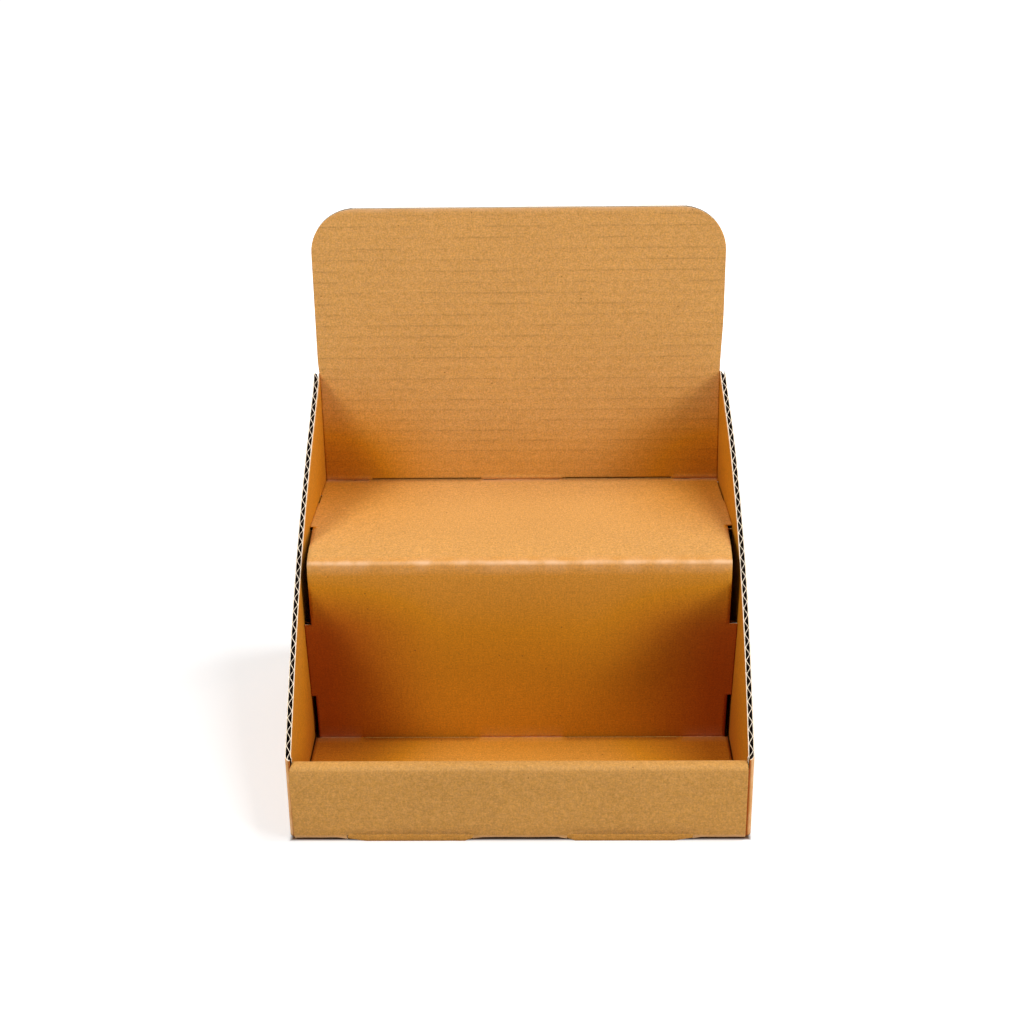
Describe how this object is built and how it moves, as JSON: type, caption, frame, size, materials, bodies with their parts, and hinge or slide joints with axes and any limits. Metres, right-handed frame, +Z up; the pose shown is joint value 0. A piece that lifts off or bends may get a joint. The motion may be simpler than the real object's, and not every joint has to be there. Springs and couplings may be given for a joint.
{
  "type": "cardboard display stand",
  "caption": "Counter display stand folded from corrugated board, with sloping sides, a front tray, a raised shelf behind it and a tall back panel.",
  "frame": {"origin": "middle of the footprint, on the surface that the stand rests on", "axes": "+Z up, -Y towards the buyer, X across the stand"},
  "size_m": [0.235, 0.2116, 0.275],
  "materials": {
    "tray_board": "uncoated kraft liner, matte, raw cut edges with open flutes",
    "insert_board": "uncoated kraft liner, matte, raw cut edges with open flutes"
  },
  "bodies": {
    "root": {"tray": "tray_board", "step_insert": "insert_board"}
  },
  "joints": []
}
